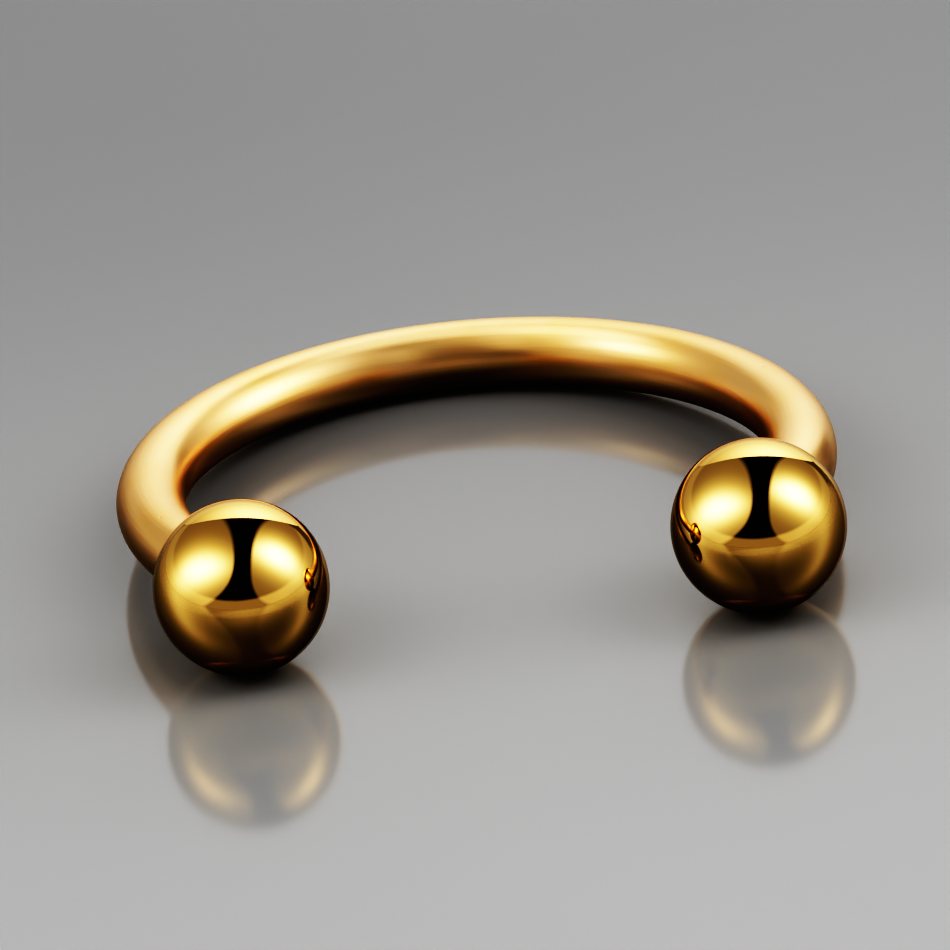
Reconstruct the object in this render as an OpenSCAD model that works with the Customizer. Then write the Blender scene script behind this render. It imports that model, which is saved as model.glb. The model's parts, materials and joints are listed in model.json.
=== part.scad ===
// Horseshoe barbell: a round wire bent into an open ring, with a ball screwed on each end.
// It lies as it does on a table, on its two balls and the back of the wire.
// +X runs across the opening, -Y is the open side and +Z is up. The origin is on the table,
// in the middle of the space that the piece takes up. All lengths are in millimetres.

/* [Wire] */
// Thickness of the wire
wire_d = 1.2; // [1.1:0.05:1.6]
// Diameter across the inside of the ring
ring_inner_d = 10; // [8:0.5:14]
// Angle at the ring's centre that the wire leaves open
open_angle = 127.6; // [110:0.2:150]

/* [Balls] */
// Diameter of each ball
ball_d = 3; // [2.6:0.1:4]
// Width of the ball's flat that shows round the end of the wire
seat_rim = 0.08; // [0.05:0.01:0.15]
// Width of the bevel at the mouth of the ball's bore
mouth_bevel = 0.04; // [0.02:0.01:0.06]
// Angle across the cone that the drill leaves at the bottom of the bore
drill_angle = 118; // [90:2:140]

/* [Thread] */
// Outside diameter of the threaded stud on each end of the wire
thread_d = 0.9; // [0.8:0.02:1]
// Distance from one ridge of the thread to the next
thread_pitch = 0.225; // [0.2:0.005:0.25]
// Depth of the grooves between the ridges
thread_depth = 0.12; // [0.08:0.01:0.14]
// Width of the flat on top of each ridge
ridge_flat = 0.03; // [0.02:0.005:0.06]
// Number of ridges on each stud
ridge_count = 6; // [3:1:7]
// Length of the plain neck between the end of the wire and the first ridge
neck_len = 0.2; // [0.1:0.05:0.3]
// Length of the bevelled tip past the last ridge
tip_len = 0.12; // [0.06:0.02:0.16]

/* [Clearances] */
// Gap all round between the thread and the bore of the ball
thread_clear = 0.03; // [0.02:0.01:0.06]
// Gap between the square end of the wire and the flat of the ball
seat_gap = 0.02; // [0.01:0.01:0.05]
// Depth of the bore left free beyond the tip of the stud
bore_spare = 0.12; // [0.05:0.01:0.2]

/* [Hidden] */
$fn = 96;
// How far a cutter reaches past the face that it opens, and a stud into the wire that carries it
overrun = 0.25;

// Radii of the wire, the ring's centre line, the ball, the thread and the flat on the ball
wire_r = wire_d / 2;
ring_r = ring_inner_d / 2 + wire_r;
ball_r = ball_d / 2;
crest_r = thread_d / 2;
root_r = crest_r - thread_depth;
seat_r = wire_r + seat_rim;
bore_r = crest_r + thread_clear;

// Along a stud, counted from the end of the wire
ridges_end = neck_len + ridge_count * thread_pitch;
stud_len = ridges_end + tip_len;
ball_at = seat_gap + sqrt(ball_r ^ 2 - seat_r ^ 2);
bore_end = stud_len + bore_spare;
drill_point = bore_r / tan(drill_angle / 2);

// The ring before it is laid down: where the right end of the wire is, as an angle from +X,
// and how far forward of the ring's centre the balls come to lie
end_angle = open_angle / 2 - 90;
ball_y = ring_r * sin(end_angle) - ball_at * cos(end_angle);

// Laid down, the balls lift the open side: the tilt, the height of the ring's centre, and the
// middle of the piece from front to back
rest_tilt = asin((ball_r - wire_r) / (ring_r - ball_y));
ring_z = wire_r + ring_r * sin(rest_tilt);
back_y = ring_r * cos(rest_tilt) + wire_r;
front_y = ball_y * cos(rest_tilt) - ball_r;
middle_y = (back_y + front_y) / 2;

// Lays the flat ring down on the table
module laid_down() {
    translate([0, -middle_y, ring_z]) rotate([-rest_tilt, 0, 0]) children();
}

// Puts children on the right end of the wire, pointing straight on from it
module on_right_end() {
    rotate([0, 0, end_angle]) translate([ring_r, 0, 0]) rotate([90, 0, 0]) children();
}

// The same on the left end, which is the right end's mirror image
module on_left_end() {
    mirror([1, 0, 0]) on_right_end() children();
}

// A turned stud: a neck, a row of ridges with V grooves between them, and a bevelled tip
module stud() {
    ridges = [for (i = [0 : ridge_count - 1], p = ridge(neck_len + i * thread_pitch)) p];
    rotate_extrude() polygon(concat(
        [[0, -overrun], [root_r, -overrun]],
        ridges,
        [[root_r, ridges_end], [root_r - tip_len, stud_len], [0, stud_len]]
    ));
}

// Outline of one ridge from its foot, as points of radius and height
function ridge(foot) = [
    [root_r, foot],
    [crest_r, foot + (thread_pitch - ridge_flat) / 2],
    [crest_r, foot + (thread_pitch + ridge_flat) / 2]
];

// The wire, bent to its arc, with a stud turned on each end
module bar() {
    color("goldenrod") laid_down() {
        rotate([0, 0, end_angle]) rotate_extrude(angle = 360 - open_angle)
            translate([ring_r, 0]) circle(r = wire_r);
        on_right_end() stud();
        on_left_end() stud();
    }
}

// A ball with a flat where the wire seats, and a blind bore for the stud
module ball() {
    difference() {
        translate([0, 0, ball_at]) sphere(r = ball_r);
        translate([0, 0, seat_gap - ball_d]) cylinder(h = ball_d, r = ball_d);
        translate([0, 0, seat_gap - overrun]) cylinder(h = bore_end - seat_gap + overrun, r = bore_r);
        translate([0, 0, seat_gap]) cylinder(h = mouth_bevel, r1 = bore_r + mouth_bevel, r2 = bore_r);
        translate([0, 0, bore_end]) cylinder(h = drill_point, r1 = bore_r, r2 = 0);
    }
}

module ball_left() {
    color("gold") laid_down() on_left_end() ball();
}

module ball_right() {
    color("gold") laid_down() on_right_end() ball();
}

bar();
ball_left();
ball_right();
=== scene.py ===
# %% [markdown]
# # A gold horseshoe barbell
#
# This is a piece of body jewellery: a round steel wire, bent to an open ring and coated in a
# gold colour, with a polished ball screwed on each end. It is tiny, 12 mm across, and all of it
# is smooth bright metal. So the lesson is about two things: surfaces true enough to be mirrors,
# and a studio that gives those mirrors something good to show.
#
# The model that was made for its construction is loaded first and never moved. What is built
# here covers its three parts with finer surfaces of the same size and in the same place.

# %% Load the frame
import json
import math

import bpy
import numpy as np
from mathutils import Matrix, Vector


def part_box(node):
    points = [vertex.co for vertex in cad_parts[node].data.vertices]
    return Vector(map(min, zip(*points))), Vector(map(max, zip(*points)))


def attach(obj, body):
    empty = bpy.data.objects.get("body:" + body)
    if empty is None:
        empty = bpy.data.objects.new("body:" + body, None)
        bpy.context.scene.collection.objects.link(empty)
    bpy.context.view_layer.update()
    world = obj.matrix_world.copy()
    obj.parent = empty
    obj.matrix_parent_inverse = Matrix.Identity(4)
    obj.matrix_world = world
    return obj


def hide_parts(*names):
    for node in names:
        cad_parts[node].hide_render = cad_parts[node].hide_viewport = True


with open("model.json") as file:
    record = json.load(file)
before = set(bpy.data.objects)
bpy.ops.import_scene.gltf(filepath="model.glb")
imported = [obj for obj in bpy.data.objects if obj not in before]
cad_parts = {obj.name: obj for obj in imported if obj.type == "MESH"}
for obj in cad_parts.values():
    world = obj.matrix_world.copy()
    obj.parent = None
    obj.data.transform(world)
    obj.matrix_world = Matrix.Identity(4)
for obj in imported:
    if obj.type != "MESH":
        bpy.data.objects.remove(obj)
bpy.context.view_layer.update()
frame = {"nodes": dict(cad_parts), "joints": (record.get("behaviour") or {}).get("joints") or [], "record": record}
print("parts:", sorted(frame["nodes"]))

# %% [markdown]
# ## Sizes
#
# A ring of wire is settled by few sizes, and the frame already holds them. The mount at the back
# of the ring gives the wire's radius and the place of its middle. The box round the wire gives
# the ring's radius. The way that a ball comes off gives the angle where the wire ends, and how
# far the ring leans as it lies. Reading them keeps every new surface where the construction has
# it. Only what hides inside the balls, the thread and its bore, is written down again here.

# %% Sizes from the frame
MM = 0.001
seat = frame["record"]["mounts"][0]
wire_r = seat["dims"]["r_mm"] * MM
ring_r = round(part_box("bar")[1].x, 5) - wire_r
ball_low, ball_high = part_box("ball_right")
ball_r = round((ball_high.x - ball_low.x) / 2, 5)

way_off = next(j["axis"] for j in frame["joints"] if j["child"] == "ball_right")
end_angle = math.asin(way_off[0])
lean = math.atan2(way_off[2], -way_off[1])
ring_axes = np.array([[1, 0, 0],
                      [0, math.cos(lean), -math.sin(lean)],
                      [0, math.sin(lean), math.cos(lean)]])
ring_centre = np.array(seat["pos_m"]) - ring_r * ring_axes[1]
half_wire = ring_r * (math.pi / 2 - end_angle)
print(f"wire {2 * wire_r / MM:.2f} mm thick and {2 * half_wire / MM:.1f} mm long, "
      f"bent to a radius of {ring_r / MM:.2f} mm, leaning {math.degrees(lean):.2f} degrees")

# %% Sizes of the thread and of the bore that takes it
thread_r = 0.45 * MM
thread_pitch = 0.225 * MM
thread_depth = 0.12 * MM
ridge_flat = 0.03 * MM
ridge_count = 6
neck_len = 0.20 * MM
tip_len = 0.12 * MM
seat_gap = 0.02 * MM
seat_r = wire_r + 0.08 * MM
bore_r = thread_r + 0.03 * MM
mouth_bevel = 0.04 * MM
bore_spare = 0.12 * MM
drill_angle = math.radians(118)

root_r = thread_r - thread_depth
ridges_end = neck_len + ridge_count * thread_pitch
stud_len = ridges_end + tip_len
ball_at = seat_gap + math.sqrt(ball_r ** 2 - seat_r ** 2)
bore_end = stud_len + bore_spare
drill_point = bore_r / math.tan(drill_angle / 2)
print(f"stud {stud_len / MM:.2f} mm long, middle of the ball {ball_at / MM:.3f} mm past the wire's end")

# %% [markdown]
# ## The camera
#
# The view is the photograph's own, worked out from the outlines of the ring and the balls: from
# a little left of the open side and 28 degrees above the floor, with the camera rolled so that
# the right ball stands higher in the picture. A long lens from 27 cm away keeps the perspective
# flat, as product photographs of jewellery are. The frame is drawn in round the piece, because
# at this size all that there is to see is in the metal.

# %% Camera
view_azimuth = math.radians(-4.55)
view_elevation = math.radians(27.9)
view_roll = math.radians(-4.65)
view_distance = 0.2732
share_of_frame = 0.76
view_target = Vector((0, -0.0002, 0.0010))

camera = bpy.data.objects.new("camera", bpy.data.cameras.new("camera"))
bpy.context.scene.collection.objects.link(camera)
bpy.context.scene.camera = camera
view_back = Vector((math.sin(view_azimuth) * math.cos(view_elevation),
                    -math.cos(view_azimuth) * math.cos(view_elevation),
                    math.sin(view_elevation)))
level = view_back.to_track_quat("Z", "Y").to_matrix()
turned = level @ Matrix.Rotation(view_roll, 3, "Z")
camera.matrix_world = Matrix.Translation(view_target + view_back * view_distance) @ turned.to_4x4()
frame_width = 2 * (ring_r + wire_r) / share_of_frame
camera.data.sensor_width = 36
camera.data.lens = camera.data.sensor_width * view_distance / frame_width
camera.data.clip_start, camera.data.clip_end = 0.01, 5
print(f"lens {camera.data.lens:.0f} mm, {frame_width / MM:.1f} mm of floor in view")

# %% [markdown]
# ## A closed surface from rows of circles
#
# A wire, a stud and a ball are all the same kind of shape: circles threaded on a line, whose
# radius changes along it. Bending or spinning a ready-made cylinder could make each of them, but
# a bent cylinder stretches its faces and a spun one can't carry a helix. Here a shape is a table
# of rows and columns instead. A row is one circle, a column one place round it, and the whole
# table is worked out at once as arrays. This helper turns such a table into a closed mesh.

# %% Helper: closed mesh from a table of points
def closed_tube(name, points, straight, ridges, materials, material_of_gap):
    """A closed mesh from points[row, column], where each row is a circle round the line.

    The first and the last row shrink to one point each, the poles. Between rows the faces are
    quads, at the poles triangles, and all of them face away from the line. Two values go with
    each point: where it lies when the line is pulled straight, in millimetres, for patterns that
    follow the metal, and how far up a ridge of the thread it is.
    """
    rows, columns = points.shape[:2]
    here = 1 + np.arange(rows - 2)[:, None] * columns + np.arange(columns)
    beside = np.roll(here, -1, axis=1)
    last = (rows - 2) * columns + 1
    first_fan = np.stack([np.zeros(columns, int), beside[0], here[0]], -1)
    quads = np.stack([here[:-1], beside[:-1], beside[1:], here[1:]], -1).reshape(-1, 4)
    last_fan = np.stack([np.full(columns, last), here[-1], beside[-1]], -1)
    faces = first_fan.tolist() + quads.tolist() + last_fan.tolist()

    def one_point_per_pole(table):
        return np.concatenate([table[:1, 0], np.concatenate(table[1:-1]), table[-1:, 0]])

    mesh = bpy.data.meshes.new(name)
    mesh.from_pydata(one_point_per_pole(points).tolist(), [], faces)
    mesh.polygons.foreach_set("use_smooth", np.ones(len(faces), bool))
    mesh.polygons.foreach_set("material_index", np.repeat(material_of_gap, columns))
    for material in materials:
        mesh.materials.append(material)
    grain = mesh.attributes.new("grain", "FLOAT_VECTOR", "POINT")
    grain.data.foreach_set("vector", one_point_per_pole(straight).ravel())
    ridge_height = mesh.attributes.new("ridge", "FLOAT", "POINT")
    ridge_height.data.foreach_set("value", one_point_per_pole(ridges))
    piece = bpy.data.objects.new(name, mesh)
    bpy.context.scene.collection.objects.link(piece)
    print(f"{name}: {rows} circles of {columns} points, {len(faces)} faces")
    return piece


# %% [markdown]
# ## The line that everything is threaded on
#
# The middle line of the piece is an arc with a short straight run at each end, where the studs
# are. One number says where a circle sits on it: the distance along the line from the middle of
# the ring's back, positive to the right. Balls and studs are placed by the same number, so they
# line up with the wire by themselves.

# %% Helper: places on the line
def on_line(along, out_by, around):
    """Points at a distance along the line, away from it by out_by, at an angle around it.

    On the arc, the direction from the ring's centre turns by distance over ring radius. Past
    either end of the arc the line runs straight on. The angle around is counted from straight
    out of the ring and turns up over the top. The points come out on the frame's own axes.
    """
    on_arc = np.clip(along, -half_wire, half_wire)
    angle = math.pi / 2 - on_arc / ring_r
    outward = np.stack([np.cos(angle), np.sin(angle), 0 * angle], -1)
    onward = np.stack([np.sin(angle), -np.cos(angle), 0 * angle], -1)
    upward = np.array([0.0, 0.0, 1.0])
    middle = ring_r * outward + (along - on_arc)[..., None] * onward
    away = np.cos(around)[..., None] * outward + np.sin(around)[..., None] * upward
    return ring_centre + (middle + out_by[..., None] * away) @ ring_axes


def pulled_straight(along, out_by, around):
    """The same points with the line pulled straight, in millimetres: along, across and up."""
    return np.stack([along, out_by * np.cos(around), out_by * np.sin(around)], -1) / MM


# %% [markdown]
# ## Outlines with soft corners
#
# Turned metal has no perfectly sharp corner: each edge is broken by the tool or by polishing,
# and it is this thin round edge that catches the light. So an outline is given by its corners,
# and one helper rounds them all and lays rows close enough together for the thread.

# %% Helper: outline from corners
def soft_outline(corners, soften, step):
    """Rows (distance, radius) along straight legs from corner to corner.

    Each inner corner is cut back by soften on both sides. A parabola bridges the cut: its point
    at share t mixes the start, the corner and the end by (1-t)(1-t), 2t(1-t) and tt.
    """
    corners = np.array(corners, float)
    share = np.linspace(0, 1, 6)[:-1, None]
    start, rows = corners[0], []
    for before, corner, after in zip(corners, corners[1:], corners[2:]):
        cut = corner + soften * (before - corner) / np.linalg.norm(before - corner)
        leave = corner + soften * (after - corner) / np.linalg.norm(after - corner)
        count = max(2, round(np.linalg.norm(cut - start) / step))
        rows.append(np.linspace(start, cut, count, endpoint=False))
        rows.append((1 - share) ** 2 * cut + 2 * share * (1 - share) * corner + share ** 2 * leave)
        start = leave
    count = max(2, round(np.linalg.norm(corners[-1] - start) / step))
    rows.append(np.linspace(start, corners[-1], count))
    return np.concatenate(rows)


# %% [markdown]
# ## The thread
#
# A real thread is a helix: once round the stud, a ridge has moved on by one pitch. On a grid of
# circles this takes no modelling at all. The height of the metal depends on the distance along
# the line less the share of a turn, and the ridges wind by themselves. The same formula, with
# the height taken away from the ball's bore, cuts the groove that the ridge runs in.

# %% Helper: the winding ridge
def winding_ridge(along, around, start, end):
    """Height of the thread at each point, from 0 in the groove to 1 on the ridge.

    The place within one pitch is the distance over the pitch less the share of a turn, so lines
    of equal height wind round as a right-hand helix. Flanks are straight and the top is flat.
    Over the first and the last pitch between start and end the ridge rises from nothing.
    """
    in_pitch = (along / thread_pitch - around / (2 * math.pi)) % 1.0
    flank = (thread_pitch - ridge_flat) / 2 / thread_pitch
    height = np.clip((0.5 - np.abs(in_pitch - 0.5)) / flank, 0, 1)
    low, high = min(start, end), max(start, end)
    rise = np.clip(np.minimum(along - low, high - along) / thread_pitch, 0, 1)
    return height * rise ** 2 * (3 - 2 * rise)


# %% [markdown]
# ## Shader groups: what happens to metal in general
#
# Both kinds of gold here, the drawn wire and the polished ball, are one mirror with different
# small faults in it. The faults are made once, as shader groups with named inputs, and each
# metal takes them in its own measure. All of them read the place on the piece pulled straight,
# in millimetres, so a scale of 20 means 20 to the millimetre.

# %% Helpers for shader trees
def put(tree, kind, inputs=None, **settings):
    """Adds a node, sets its own settings, and gives each named input a value or a link."""
    made = tree.nodes.new(kind)
    for key, value in settings.items():
        setattr(made, key, value)
    for key, value in (inputs or {}).items():
        if isinstance(value, bpy.types.NodeSocket):
            tree.links.new(value, made.inputs[key])
        else:
            made.inputs[key].default_value = value
    return made


def new_group(name, takes, gives):
    """An empty shader group with float or vector inputs and outputs of the given names."""
    tree = bpy.data.node_groups.new(name, "ShaderNodeTree")
    for label, default in takes.items():
        kind = "NodeSocketVector" if default is None else "NodeSocketFloat"
        socket = tree.interface.new_socket(label, in_out="INPUT", socket_type=kind)
        if default is not None:
            socket.default_value = default
    for label in gives:
        tree.interface.new_socket(label, in_out="OUTPUT", socket_type="NodeSocketFloat")
    return tree, put(tree, "NodeGroupInput").outputs, put(tree, "NodeGroupOutput").inputs


def math_node(tree, operation, a, b, clamp=False):
    """The value of one sum, product or the like."""
    return put(tree, "ShaderNodeMath", {0: a, 1: b}, operation=operation, use_clamp=clamp).outputs[0]


def mix_colours(tree, share, first, second):
    """A colour between two, by share. A mix node keeps its colours in sockets 6 and 7."""
    return put(tree, "ShaderNodeMix", {0: share, 6: first, 7: second}, data_type="RGBA").outputs[2]


# %% [markdown]
# **Drawn lines.** Wire is pulled through a die, and the die leaves fine lines along it. They are
# noise squeezed across the wire and stretched along it.

# %% Group: drawn lines
def drawn_lines_group():
    tree, given, result = new_group(
        "drawn_lines", {"Place": None, "Lines per mm": 20, "Length in mm": 2, "Contrast": 1}, ["Height"])
    slow = math_node(tree, "DIVIDE", 1.0, given["Length in mm"])
    squeeze = put(tree, "ShaderNodeCombineXYZ",
                  {"X": slow, "Y": given["Lines per mm"], "Z": given["Lines per mm"]})
    place = put(tree, "ShaderNodeVectorMath", {0: given["Place"], 1: squeeze.outputs[0]},
                operation="MULTIPLY")
    lines = put(tree, "ShaderNodeTexNoise",
                {"Vector": place.outputs[0], "Scale": 1.0, "Detail": 3.0, "Roughness": 0.6})
    centred = math_node(tree, "SUBTRACT", lines.outputs["Fac"], 0.5)
    scaled = math_node(tree, "MULTIPLY", centred, given["Contrast"])
    tree.links.new(math_node(tree, "ADD", scaled, 0.5, clamp=True), result["Height"])
    return tree


drawn_lines = drawn_lines_group()
print("group:", drawn_lines.name)

# %% [markdown]
# **Clouds.** Handling, polishing paste and an uneven coating change a metal slowly from place to
# place. One soft noise serves them all: it puts out a value from Low to High.

# %% Group: clouds
def clouds_group():
    tree, given, result = new_group(
        "clouds", {"Place": None, "Size in mm": 1, "Low": 0, "High": 1}, ["Value"])
    scale = math_node(tree, "DIVIDE", 1.0, given["Size in mm"])
    noise = put(tree, "ShaderNodeTexNoise",
                {"Vector": given["Place"], "Scale": scale, "Detail": 3.0, "Roughness": 0.5})
    value = put(tree, "ShaderNodeMapRange",
                {"Value": noise.outputs["Fac"], "From Min": 0.3, "From Max": 0.7,
                 "To Min": given["Low"], "To Max": given["High"]})
    tree.links.new(value.outputs["Result"], result["Value"])
    return tree


clouds = clouds_group()
print("group:", clouds.name)

# %% [markdown]
# **Pits.** Under the coating the steel has a few pinholes, which show as dark or glinting specks.
# Each cell of a Voronoi pattern may hold one: a small round mask in its middle, kept only where
# the cell's own random number is high.

# %% Group: pits
def pits_group():
    tree, given, result = new_group(
        "pits", {"Place": None, "Cells per mm": 4, "Radius in cells": 0.1, "Share of cells": 0.3}, ["Mask"])
    cells = put(tree, "ShaderNodeTexVoronoi",
                {"Vector": given["Place"], "Scale": given["Cells per mm"]})
    hole = put(tree, "ShaderNodeMapRange",
               {"Value": cells.outputs["Distance"], "From Min": 0.0, "From Max": given["Radius in cells"],
                "To Min": 1.0, "To Max": 0.0}, interpolation_type="SMOOTHSTEP")
    chance = put(tree, "ShaderNodeSeparateColor", {"Color": cells.outputs["Color"]}).outputs["Red"]
    kept = math_node(tree, "LESS_THAN", chance, given["Share of cells"])
    tree.links.new(math_node(tree, "MULTIPLY", hole.outputs["Result"], kept), result["Mask"])
    return tree


pits = pits_group()
print("group:", pits.name)

# %% [markdown]
# ## The metals
#
# The gold is a hard coating on steel, thin as a breath, so the metal under it decides how it
# shines. A metal has no colour of its own beneath the shine: the base colour tints what it
# mirrors, and light goes warmer each time it bounces. At grazing angles the tint fades, so the
# far rim of a ball mirrors the pale wall as cream.

# %% Helper: start of a gold
gold_pale = (1.0, 0.68, 0.37, 1)
gold_clear = (1.0, 0.68, 0.27, 1)
gold_deep = (0.98, 0.60, 0.22, 1)
gold_edge = (1.0, 0.92, 0.84, 1)
bare_steel = (0.62, 0.60, 0.57, 1)


def start_gold(name):
    """A material with a metal shader, and the piece's own place in millimetres."""
    material = bpy.data.materials.new(name)
    material.use_nodes = True
    tree = material.node_tree
    metal = tree.nodes["Principled BSDF"]
    metal.inputs["Metallic"].default_value = 1.0
    metal.inputs["Specular Tint"].default_value = gold_edge
    place = put(tree, "ShaderNodeAttribute", attribute_name="grain").outputs["Vector"]
    return material, tree, metal, place


def use(tree, group, output, **inputs):
    """One output of a shader group placed in a material with its own values."""
    named = {key.replace("_", " "): value for key, value in inputs.items()}
    return put(tree, "ShaderNodeGroup", named, node_tree=group).outputs[output]


# %% [markdown]
# **Drawn gold** is the wire's. It was drawn, bent and then satin polished, so its lines are
# faint, but there are thousands of them. Together they blur reflections across the wire and
# leave them crisp along it. Most are far finer than a pixel, so the shader is told their way, as
# a tangent that runs round the ring, and how uneven the blur is, as anisotropy. A thin clear
# coat pales the far edges, and a few pinholes glint. The roughness stays above 0.274, because
# under that the renderer cleans up its noise in another way, which leaves dashes on this metal.

# %% Material: drawn gold
def drawn_gold():
    """Satin gold with lines along the wire, soft changes of tone and shine, and a few pinholes.

    The tangent at a place is the cross product of its offset from the ring's centre and the
    ring's own upward axis, so it runs along the wire everywhere.
    """
    material, tree, metal, place = start_gold("drawn_gold")
    lines = use(tree, drawn_lines, "Height", Place=place, Lines_per_mm=15, Length_in_mm=2.4, Contrast=1.3)
    tone = use(tree, clouds, "Value", Place=place, Size_in_mm=1.4, Low=0.0, High=0.55)
    dull = use(tree, clouds, "Value", Place=place, Size_in_mm=0.8, Low=0.0, High=0.02)
    holes = use(tree, pits, "Mask", Place=place, Cells_per_mm=1.5, Radius_in_cells=0.06, Share_of_cells=0.8)
    coating = mix_colours(tree, tone, gold_pale, gold_deep)
    tree.links.new(coating, metal.inputs["Base Color"])
    satin = put(tree, "ShaderNodeMapRange", {"Value": lines, "To Min": 0.276, "To Max": 0.31}).outputs[0]
    tree.links.new(math_node(tree, "ADD", satin, dull), metal.inputs["Roughness"])
    point = put(tree, "ShaderNodeTexCoord").outputs["Object"]
    from_centre = put(tree, "ShaderNodeVectorMath", {0: point, 1: ring_centre}, operation="SUBTRACT")
    along = put(tree, "ShaderNodeVectorMath", {0: from_centre.outputs[0], 1: ring_axes[2]},
                operation="CROSS_PRODUCT")
    tree.links.new(along.outputs[0], metal.inputs["Tangent"])
    metal.inputs["Coat Weight"].default_value = 0.25
    metal.inputs["Coat Roughness"].default_value = 0.15
    metal.inputs["Coat IOR"].default_value = 1.5
    metal.inputs["Coat Tint"].default_value = (1, 1, 1, 1)
    metal.inputs["Anisotropic"].default_value = 0.65
    metal.inputs["Anisotropic Rotation"].default_value = 0.25
    height = math_node(tree, "SUBTRACT", math_node(tree, "MULTIPLY", lines, 0.25), holes)
    bump = put(tree, "ShaderNodeBump", {"Height": height, "Strength": 0.6, "Distance": 0.015 * MM})
    tree.links.new(bump.outputs["Normal"], metal.inputs["Normal"])
    return material


# %% [markdown]
# **Polished gold** is the balls'. They are tumbled and buffed to a mirror. Two faults are left,
# both hardly there: a ripple in the surface, as on the skin of an orange, that wavers the edges
# of reflections, and hairlines from wiping, which show only where a light is very bright.

# %% Material: polished gold
def polished_gold():
    """Mirror gold with a faint ripple, hairlines, and slightly uneven shine."""
    material, tree, metal, place = start_gold("polished_gold")
    tone = use(tree, clouds, "Value", Place=place, Size_in_mm=1.8, Low=0.0, High=0.35)
    shine = use(tree, clouds, "Value", Place=place, Size_in_mm=0.7, Low=0.02, High=0.05)
    hairs = use(tree, drawn_lines, "Height", Place=place, Lines_per_mm=45, Length_in_mm=0.5, Contrast=1.6)
    holes = use(tree, pits, "Mask", Place=place, Cells_per_mm=1.6, Radius_in_cells=0.035, Share_of_cells=0.15)
    ripple = use(tree, clouds, "Value", Place=place, Size_in_mm=0.45, Low=0.0, High=1.0)
    coating = mix_colours(tree, tone, gold_clear, gold_deep)
    tree.links.new(coating, metal.inputs["Base Color"])
    scratched = put(tree, "ShaderNodeMapRange",
                    {"Value": hairs, "From Min": 0.7, "From Max": 1.0, "To Max": 0.05}).outputs[0]
    tree.links.new(math_node(tree, "ADD", shine, scratched), metal.inputs["Roughness"])
    height = math_node(tree, "SUBTRACT", ripple, holes)
    bump = put(tree, "ShaderNodeBump", {"Height": height, "Strength": 0.5, "Distance": 0.0006 * MM})
    tree.links.new(bump.outputs["Normal"], metal.inputs["Normal"])
    return material


# %% [markdown]
# **Turned gold** is on all that a ball hides: the studs, the square ends of the wire, the flat
# and the bore of each ball. A lathe leaves fine rings round the axis there. Screwing the balls
# on and off rubs the coating from the tops of the ridges, so steel shows through.

# %% Material: turned gold
def turned_gold():
    """Lathe rings, a coating of uneven tone, and steel where the ridges are rubbed bare."""
    material, tree, metal, place = start_gold("turned_gold")
    apart = put(tree, "ShaderNodeSeparateXYZ", {0: place}).outputs
    across = put(tree, "ShaderNodeCombineXYZ", {"X": apart["Y"], "Y": apart["Z"]}).outputs[0]
    from_axis = put(tree, "ShaderNodeVectorMath", {0: across}, operation="LENGTH").outputs["Value"]
    on_ring = put(tree, "ShaderNodeCombineXYZ", {"X": 0.0, "Y": apart["X"], "Z": from_axis}).outputs[0]
    rings = use(tree, drawn_lines, "Height", Place=on_ring, Lines_per_mm=34, Length_in_mm=2, Contrast=1.4)
    tone = use(tree, clouds, "Value", Place=place, Size_in_mm=0.4, Low=0.1, High=0.8)
    rubbed = use(tree, clouds, "Value", Place=place, Size_in_mm=0.25, Low=-0.25, High=0.25)
    up_ridge = put(tree, "ShaderNodeAttribute", attribute_name="ridge").outputs["Fac"]
    bare = put(tree, "ShaderNodeMapRange",
               {"Value": math_node(tree, "ADD", up_ridge, rubbed), "From Min": 0.75, "From Max": 1.1},
               interpolation_type="SMOOTHSTEP").outputs[0]
    coating = mix_colours(tree, tone, gold_pale, gold_deep)
    worn = mix_colours(tree, bare, coating, bare_steel)
    tree.links.new(worn, metal.inputs["Base Color"])
    dull = put(tree, "ShaderNodeMapRange", {"Value": rings, "To Min": 0.28, "To Max": 0.38}).outputs[0]
    tree.links.new(dull, metal.inputs["Roughness"])
    bump = put(tree, "ShaderNodeBump", {"Height": rings, "Strength": 0.7, "Distance": 0.003 * MM})
    tree.links.new(bump.outputs["Normal"], metal.inputs["Normal"])
    return material


wire_gold, ball_gold, lathe_gold = drawn_gold(), polished_gold(), turned_gold()
print("metals:", wire_gold.name, ball_gold.name, lathe_gold.name)

# %% [markdown]
# ## The wire and its studs
#
# The maker cuts a length of drawn wire, turns a threaded stud on each end and bends the wire
# round a former. So the outline from the tip of a stud to the wire is a lathe's: a bevelled tip,
# the thread, a plain neck and a square shoulder. Drawn wire is never perfectly round or even. A
# wave of two thousandths of a millimetre can't be seen as a shape, but it bends the reflections
# a little, and without it the metal looks computed.

# %% The outline from tip to tip
edge_break = 0.03 * MM
row_step = thread_pitch / 16
wire_circles = 420
end_rows = soft_outline([(stud_len, 0), (stud_len, root_r - tip_len), (ridges_end, root_r), (0, root_r),
                         (0, wire_r), (-4 * edge_break, wire_r)], edge_break, row_step)
wire_rows = np.stack([np.linspace(-half_wire, half_wire, wire_circles),
                      np.full(wire_circles, wire_r)], -1)
wire_rows = wire_rows[np.abs(wire_rows[:, 0]) < half_wire - 5 * edge_break]
left_rows = np.stack([-half_wire - end_rows[:, 0], end_rows[:, 1]], -1)
right_rows = np.stack([half_wire + end_rows[::-1, 0], end_rows[::-1, 1]], -1)
bar_rows = np.concatenate([left_rows, wire_rows, right_rows])
print(f"{len(bar_rows)} circles from tip to tip, {len(end_rows)} of them on each end")

# %% The wire as one piece
wave = 0.002 * MM


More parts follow.
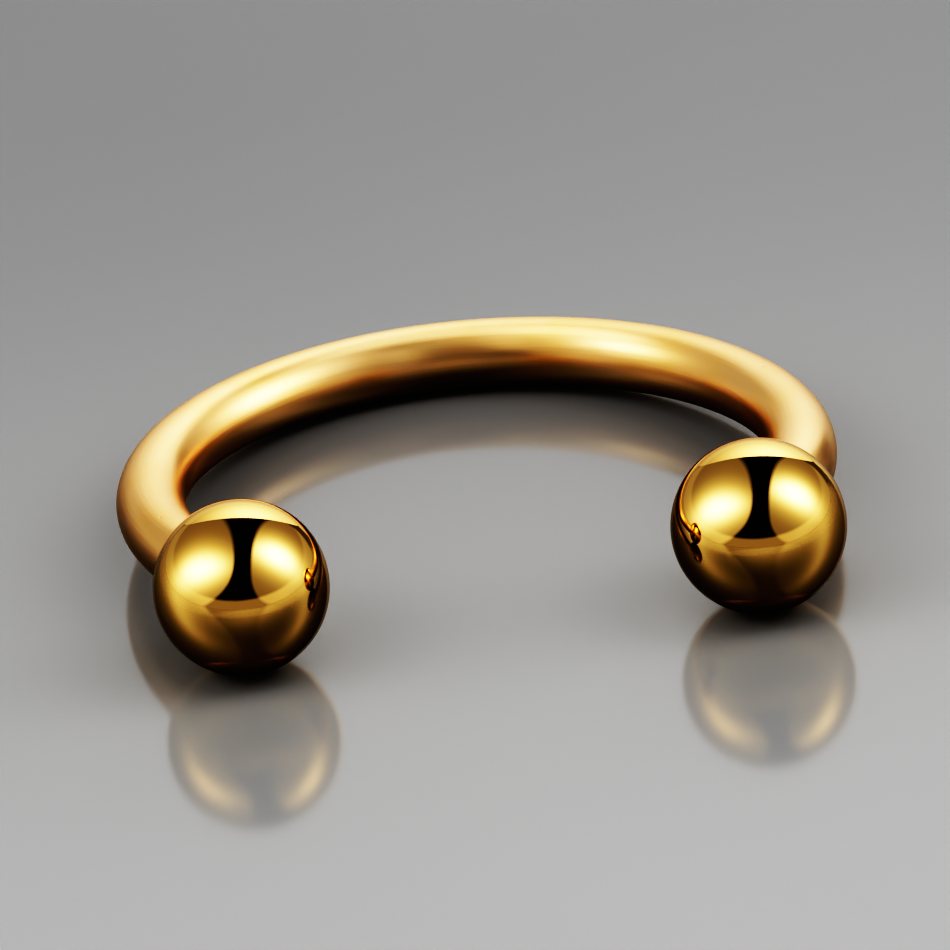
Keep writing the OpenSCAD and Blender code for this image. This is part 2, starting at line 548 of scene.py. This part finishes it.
def wire_piece(columns=96):
    """The wire with both studs, as a closed mesh.

    The radius at each point is the outline's, plus the thread where the ridge winds over a
    stud, plus the wave of the drawn wire: three sine waves that run along and slowly round it.
    """
    along, around = np.meshgrid(bar_rows[:, 0], np.arange(columns) * 2 * math.pi / columns, indexing="ij")
    winding = (winding_ridge(along, around, half_wire + neck_len, half_wire + ridges_end)
               + winding_ridge(along, around, -half_wire - neck_len, -half_wire - ridges_end))
    waves = (np.sin(along / (0.83 * MM) + 2 * around) + 0.7 * np.sin(along / (0.47 * MM) - 3 * around + 1.3)
             + 0.5 * np.sin(along / (0.29 * MM) + around + 4.1)) / 2.2
    drawn = np.where(np.abs(along) < half_wire - edge_break, wave * waves, 0)
    out_by = bar_rows[:, 1:] + thread_depth * winding + drawn * (bar_rows[:, 1:] > 0)
    turned_gap = np.abs((bar_rows[1:, 0] + bar_rows[:-1, 0]) / 2) > half_wire - edge_break / 2
    return closed_tube("wire", on_line(along, out_by, around), pulled_straight(along, out_by, around),
                       winding, [wire_gold, lathe_gold], turned_gap.astype(int))


wire = wire_piece()
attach(wire, "bar")
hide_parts("bar")

# %% [markdown]
# ## The balls
#
# A ball is drilled, threaded, and faced flat where it meets the wire. It could be a sphere with
# a hole cut in it, but a cut leaves ragged edges in just the surface that has to be a perfect
# mirror. So the ball is one turned outline too, from the cone that the drill left at the bottom
# of the bore, out over the flat, and round the sphere to its far pole. The left ball has the
# same outline the other way round on the line, and both threads wind to the right, as they do on
# the real piece.
#
# The sphere's own circles start a little past the rounded edge of the flat. The polish starts on
# the last fifth of that rounding, at the fourth circle from the end of the bore's outline.

# %% The ball's outline
flat_break = 0.02 * MM
past_edge = 0.04
sphere_circles = 100
polished_edge_circles = 4
flat_edge = math.asin(seat_r / ball_r)
sphere_angle = np.linspace(flat_edge + past_edge, math.pi, sphere_circles)
sphere_rows = np.stack([ball_at - ball_r * np.cos(sphere_angle), ball_r * np.sin(sphere_angle)], -1)
bore_rows = soft_outline([(bore_end + drill_point, 0), (bore_end, bore_r), (seat_gap + mouth_bevel, bore_r),
                          (seat_gap, bore_r + mouth_bevel), (seat_gap, seat_r), sphere_rows[0]],
                         flat_break, row_step)
ball_rows = np.concatenate([bore_rows, sphere_rows[1:]])
sphere_row = len(bore_rows) - polished_edge_circles
print(f"ball: {len(bore_rows)} circles in the bore and on the flat, {len(sphere_rows)} on the sphere")


# %% The two balls
groove_depth = 0.06 * MM


def ball_piece(name, side, columns=120):
    """A bored and threaded ball on one side of the line, -1 for left and 1 for right.

    The radius at each point is the outline's, plus the groove that the ridge runs in. On the
    left the distance along the line is negative, so the rows are taken in reverse: then the
    sphere still runs up the line and its faces still point outwards.
    """
    rows = ball_rows[::side]
    along, around = np.meshgrid(side * (half_wire + rows[:, 0]),
                                np.arange(columns) * 2 * math.pi / columns, indexing="ij")
    winding = winding_ridge(along, around, side * (half_wire + seat_gap + 2 * mouth_bevel),
                            side * (half_wire + stud_len))
    in_bore = np.abs(rows[:, 1:] - bore_r) < 1e-9
    out_by = rows[:, 1:] + groove_depth * winding * in_bore
    turned_gap = (np.arange(len(rows) - 1) < sphere_row)[::side]
    ball = closed_tube(name, on_line(along, out_by, around), pulled_straight(along, out_by, around),
                       0 * winding, [ball_gold, lathe_gold], turned_gap.astype(int))
    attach(ball, "ball_left" if side < 0 else "ball_right")
    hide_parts("ball_left" if side < 0 else "ball_right")
    return ball


left_ball = ball_piece("left_ball", -1)
right_ball = ball_piece("right_ball", 1)

# %% [markdown]
# ## The floor
#
# The piece lies on a plain pale sheet with a soft gloss, far larger than the view, so that no
# edge of it shows from any side or as a line in the metal. A sheet that is pale to everything
# would fill the undersides of the gold with milky light, and the photograph has them nearly
# black. So there are two greys: the eye and the light that bounces find the pale one, and what
# the metal mirrors is a dark one.

# %% Floor
def floor_piece(half_width=1.5, cells=24):
    """A flat grid in the plane z = 0, wound so that its faces look up."""
    x, y = np.meshgrid(*[np.linspace(-half_width, half_width, cells + 1)] * 2)
    corners = np.arange((cells + 1) ** 2).reshape(cells + 1, cells + 1)
    squares = np.stack([corners[:-1, :-1], corners[:-1, 1:], corners[1:, 1:], corners[1:, :-1]], -1)
    mesh = bpy.data.meshes.new("floor")
    mesh.from_pydata(np.stack([x, y, 0 * x], -1).reshape(-1, 3).tolist(), [], squares.reshape(-1, 4).tolist())
    floor = bpy.data.objects.new("floor", mesh)
    bpy.context.scene.collection.objects.link(floor)
    return floor


def floor_sheet():
    """A glossy pale grey sheet, paler towards the front, and dark where the metal mirrors it.

    The pale grey falls off smoothly from the front of the view to the back, a painted pool of light.
    The dark grey, painted shade, lightens with the distance from the piece.
    """
    material = bpy.data.materials.new("floor_sheet")
    material.use_nodes = True
    tree = material.node_tree
    sheet = tree.nodes["Principled BSDF"]
    place = put(tree, "ShaderNodeTexCoord").outputs["Object"]
    in_mm = put(tree, "ShaderNodeVectorMath", {0: place, "Scale": 1 / MM}, operation="SCALE").outputs[0]
    from_front = put(tree, "ShaderNodeSeparateXYZ", {0: in_mm}).outputs["Y"]
    # Painted light: the sheet's grey is paler in front and darker behind, as a pool of light would fall.
    fade = put(tree, "ShaderNodeMapRange",
               {"Value": from_front, "From Min": -16.0, "From Max": 20.0, "To Min": 0.34, "To Max": 0.21},
               interpolation_type="SMOOTHSTEP").outputs[0]
    uneven = use(tree, clouds, "Value", Place=in_mm, Size_in_mm=30, Low=-0.01, High=0.01)
    tone = math_node(tree, "ADD", fade, uneven)
    pale = put(tree, "ShaderNodeCombineColor", {"Red": tone, "Green": tone, "Blue": tone}).outputs[0]
    # Painted shade: the sheet as the metal mirrors it is dark grey, darkest within 4 mm of the piece and paler out
    # to 15 mm.
    from_piece = put(tree, "ShaderNodeVectorMath", {0: in_mm}, operation="LENGTH").outputs["Value"]
    painted_shade_grey = put(tree, "ShaderNodeMapRange",
                {"Value": from_piece, "From Min": 4.0, "From Max": 15.0, "To Min": 0.045, "To Max": 0.19},
                interpolation_type="SMOOTHSTEP").outputs[0]
    dark = put(tree, "ShaderNodeCombineColor", {"Red": painted_shade_grey, "Green": painted_shade_grey, "Blue": painted_shade_grey}).outputs[0]
    mirrored = put(tree, "ShaderNodeLightPath").outputs["Is Glossy Ray"]
    tree.links.new(mix_colours(tree, mirrored, pale, dark), sheet.inputs["Base Color"])
    gloss = use(tree, clouds, "Value", Place=in_mm, Size_in_mm=6, Low=0.10, High=0.13)
    tree.links.new(gloss, sheet.inputs["Roughness"])
    return material


floor = floor_piece()
floor.data.materials.append(floor_sheet())
print("floor 3 m across")

# %% [markdown]
# ## The light
#
# A mirror has no look of its own, so lighting bright metal means choosing what it mirrors. The
# balls in the photograph show the studio plainly: two large rounded diffusers, one at each side,
# bright in the middle where the lamp is close behind, and a pale wall at the back. Between the
# diffusers the room is black. That gap makes the dark hourglass on the balls, and it is what
# tells the eye that the surface is round and polished.

# %% Helper: a lamp in a direction
def area_lamp(name, towards, distance, half_sizes, turn=0.0):
    """An oval area lamp in a direction from the piece, facing it, turned in its own plane.

    Half sizes are as seen from the piece: half width over distance. The lamp's energy is 4 times
    its area, which gives a brightness of one. The camera doesn't see it.
    """
    data = bpy.data.lights.new(name, "AREA")
    data.shape = "ELLIPSE"
    data.size, data.size_y = [2 * distance * half for half in half_sizes]
    data.energy = math.pi * data.size * data.size_y
    data.use_nodes = True
    lamp = bpy.data.objects.new(name, data)
    bpy.context.scene.collection.objects.link(lamp)
    lamp.visible_camera = False
    out = Vector(towards).normalized()
    facing = out.to_track_quat("Z", "Y").to_matrix() @ Matrix.Rotation(turn, 3, "Z")
    lamp.matrix_world = Matrix.Translation(out * distance) @ facing.to_4x4()
    return lamp


# %% Helper: how far a place is from a direction
def oval_radius(tree, place, towards, long_way, half_sizes):
    """How far off a place is as seen from the piece, in an oval round a direction: 1 on its rim.

    The place is measured along the direction, the long way of the oval, and across both. The
    last two over the first, and over the half sizes, are the two legs of the distance.
    """
    out = Vector(towards).normalized()
    across = Vector(long_way)
    across = (across - across.dot(out) * out).normalized()
    legs = [(out, 1.0), (across, half_sizes[0]), (out.cross(across), half_sizes[1])]
    ahead, along, aside = [put(tree, "ShaderNodeVectorMath", {0: place, 1: way / half},
                               operation="DOT_PRODUCT").outputs["Value"] for way, half in legs]
    both = put(tree, "ShaderNodeCombineXYZ", {"X": math_node(tree, "DIVIDE", along, ahead),
                                              "Y": math_node(tree, "DIVIDE", aside, ahead)})
    return put(tree, "ShaderNodeVectorMath", {0: both.outputs[0]}, operation="LENGTH").outputs["Value"]


# %% [markdown]
# The wall is an oval panel too. It stands behind the piece, a little to the right, and reaches
# 49 degrees above the floor. It is brighter at the top. Where it stands in front of a diffuser,
# the diffuser is dark, because lamps don't hide each other here and their light would add up.

# %% Helper: glow of a lamp
wall_towards, wall_sizes = (0.121, 0.943, 0.309), (0.543, 0.60)


def glow(lamp, base, spot, hot, long_way, half_sizes, rim=None):
    """Gives a lamp a base brightness and a spot that is brightest in the direction hot.

    At radius r in an oval round that direction the spot has faded to 1 over (1 + rr) to the
    power of 1.5, which keeps its middle bright and its skirt wide. With a rim, the direction,
    long way and half sizes of the lamp itself, its rim fades to a third, and all of it that the
    wall hides is dark.
    """
    tree = lamp.data.node_tree
    place = put(tree, "ShaderNodeNewGeometry").outputs["Position"]
    radius = oval_radius(tree, place, hot, long_way, half_sizes)
    squared = math_node(tree, "MULTIPLY", radius, radius)
    fade = math_node(tree, "POWER", math_node(tree, "ADD", squared, 1.0), -1.5)
    light = math_node(tree, "ADD", math_node(tree, "MULTIPLY", fade, spot), base)
    if rim:
        at_rim = put(tree, "ShaderNodeMapRange",
                     {"Value": oval_radius(tree, place, *rim), "From Min": 0.85, "From Max": 1.0,
                      "To Min": 1.0, "To Max": 0.3}, interpolation_type="SMOOTHSTEP").outputs[0]
        past_wall = oval_radius(tree, place, wall_towards, (1, 0, 0), wall_sizes)
        seen = put(tree, "ShaderNodeMapRange",
                   {"Value": past_wall, "From Min": 0.99, "From Max": 1.01},
                   interpolation_type="SMOOTHSTEP").outputs[0]
        light = math_node(tree, "MULTIPLY", light, math_node(tree, "MULTIPLY", at_rim, seen))
    tree.links.new(light, tree.nodes["Emission"].inputs["Strength"])


# %% [markdown]
# The drawn wire needs light of its own. Its blur spreads the black gap between the diffusers far
# along it, where the photograph shows cream and brown, and its bright spots lie elsewhere than
# those on the balls. Photographers stand small cards close to one part of a piece for this.
# Blender does it with light linking: a lamp is given the pieces that it may light. So the wire
# has its own pair of diffusers and two cards, one over the back and one over the front, and the
# first pair is left to the balls and the floor.

# %% Helper: a lamp for some pieces only
def shine_on(lamp, pieces):
    """Lets a lamp light and be mirrored by these pieces alone."""
    lit = bpy.data.collections.new("lit_by_" + lamp.name)
    for piece in pieces:
        lit.objects.link(piece)
    lamp.light_linking.receiver_collection = lit


# %% Diffusers
left_way, left_sizes, left_turn = (-0.833, 0.178, 0.524), (2.23, 1.32), math.radians(26.8)
right_way, right_sizes, right_turn = (0.856, -0.167, 0.490), (1.81, 0.98), 0.0
diffuser_distance = 0.35


def diffuser(name, way, sizes, turn, pieces, base, spot, hot, long_way, half_sizes):
    """A large oval lamp with a base brightness and a spot, seen by some pieces."""
    lamp = area_lamp(name, way, diffuser_distance, sizes, turn)
    long_side = lamp.matrix_world.to_3x3().col[0]
    glow(lamp, base, spot, hot, long_way, half_sizes, rim=(way, long_side, sizes))
    shine_on(lamp, pieces)


balls_and_floor = [left_ball, right_ball, floor]
diffuser("left_diffuser", left_way, left_sizes, left_turn, balls_and_floor, 0.33, 4.7,
         hot=(-0.775, -0.190, 0.603), long_way=(0.599, -0.586, 0.546), half_sizes=(0.58, 0.29))
diffuser("right_diffuser", right_way, right_sizes, right_turn, balls_and_floor, 0.33, 5.6,
         hot=(0.720, -0.170, 0.672), long_way=(-0.713, -0.139, 0.687), half_sizes=(0.45, 0.26))
diffuser("left_diffuser_for_wire", left_way, left_sizes, left_turn, [wire], 0.54, 4.8,
         hot=(-0.704, -0.062, 0.707), long_way=(0, 1, 0), half_sizes=(0.21, 0.22))
diffuser("right_diffuser_for_wire", right_way, right_sizes, right_turn, [wire], 0.33, 4.9,
         hot=(0.828, 0.029, 0.559), long_way=(0, 1, 0), half_sizes=(0.35, 0.35))

# %% Back wall and cards
wall_distance, card_distance = 0.6, 0.5
back_wall = area_lamp("back_wall", wall_towards, wall_distance, wall_sizes)
glow(back_wall, 0.3, 2.3, hot=(0.302, 0.679, 0.669), long_way=(1, 0, 0), half_sizes=(0.70, 0.75))

back_card = area_lamp("back_card", (-0.06, 0.34, 0.94), card_distance, (0.52, 0.30))
back_card.data.node_tree.nodes["Emission"].inputs["Strength"].default_value = 1.7
front_card = area_lamp("front_card", (0.02, -0.70, 0.72), card_distance, (0.40, 0.90))
glow(front_card, 0.2, 0.4, hot=(0.02, -0.26, 0.966), long_way=(1, 0, 0), half_sizes=(0.6, 0.5))
for card in (back_card, front_card):
    shine_on(card, [wire])
print("two pairs of diffusers, a back wall and two cards")

# %% [markdown]
# From behind, the floor mirrors the dark side of the room and would look black. So a weak panel
# stands in front as well, but only for the gloss of the floor. The metal doesn't mirror it
# straight, only by way of the floor, as a soft sheen on the lower half of each ball.

# %% Front panel
front_panel = area_lamp("front_panel", (0, -0.93, 0.36), card_distance, (1.1, 0.36))
glow(front_panel, 0.0, 0.7, hot=(0, -0.93, 0.30), long_way=(1, 0, 0), half_sizes=(0.7, 0.28))
front_panel.visible_diffuse = False
shine_on(front_panel, [floor])
print("a panel for the gloss of the floor")

# %% [markdown]
# Two weak lights are left. A pool of light falls on the floor inside the ring, and isn't mirrored
# in the metal. The room itself is dark, but for a haze low down, strongest in front, which the
# metal mirrors as a thin amber line just over the floor.

# %% Pool of light and dark room
pool_distance = 0.06
pool = area_lamp("pool", (0.05, -0.35, 0.94), pool_distance, (0.25, 0.25))
pool.data.node_tree.nodes["Emission"].inputs["Strength"].default_value = 3.0
pool.visible_glossy = False

world = bpy.data.worlds.new("dark_room")
world.use_nodes = True
room = world.node_tree
way = put(room, "ShaderNodeSeparateXYZ", {0: put(room, "ShaderNodeTexCoord").outputs["Generated"]}).outputs
haze = put(room, "ShaderNodeMapRange",
           {"Value": way["Y"], "From Min": -0.7, "From Max": -0.2, "To Min": 0.55, "To Max": 0.2},
           interpolation_type="SMOOTHSTEP").outputs[0]
dark = put(room, "ShaderNodeMapRange",
           {"Value": way["Z"], "From Min": 0.16, "From Max": 0.24, "To Min": haze, "To Max": 0.012},
           interpolation_type="SMOOTHSTEP").outputs[0]
room.links.new(dark, room.nodes["Background"].inputs["Strength"])
room.nodes["Background"].inputs["Color"].default_value = (1, 0.97, 0.94, 1)
bpy.context.scene.world = world
print("a pool of light and a dark room")

# %% [markdown]
# ## Tone
#
# The photograph has the contrast of film: dim gold goes to deep amber and brown, bright gold to
# cream. A plain view can't do that, because it keeps the ratio of red, green and blue until red
# clips. So each channel goes through one curve, with a toe below and a long shoulder above. The
# curve is given by what is shown for each brightness of the scene, from none up to four.

# %% View
view = bpy.context.scene.view_settings
view.view_transform = "Standard"
view.look = "None"
view.use_curve_mapping = True
brightest = 4.0
view.curve_mapping.white_level = (brightest, brightest, brightest)
curve = view.curve_mapping.curves[3]
shown_for = {0.1: 0.003, 0.2: 0.02, 0.3: 0.06, 0.5: 0.24, 0.8: 0.52, 1.0: 0.67, 1.5: 0.87, 2.0: 0.955,
             2.5: 0.985}
for light, shown in shown_for.items():
    curve.points.new(light / brightest, shown)
for point in curve.points:
    point.handle_type = "AUTO_CLAMPED"
view.curve_mapping.update()
print(f"tone curve with {len(curve.points)} points")
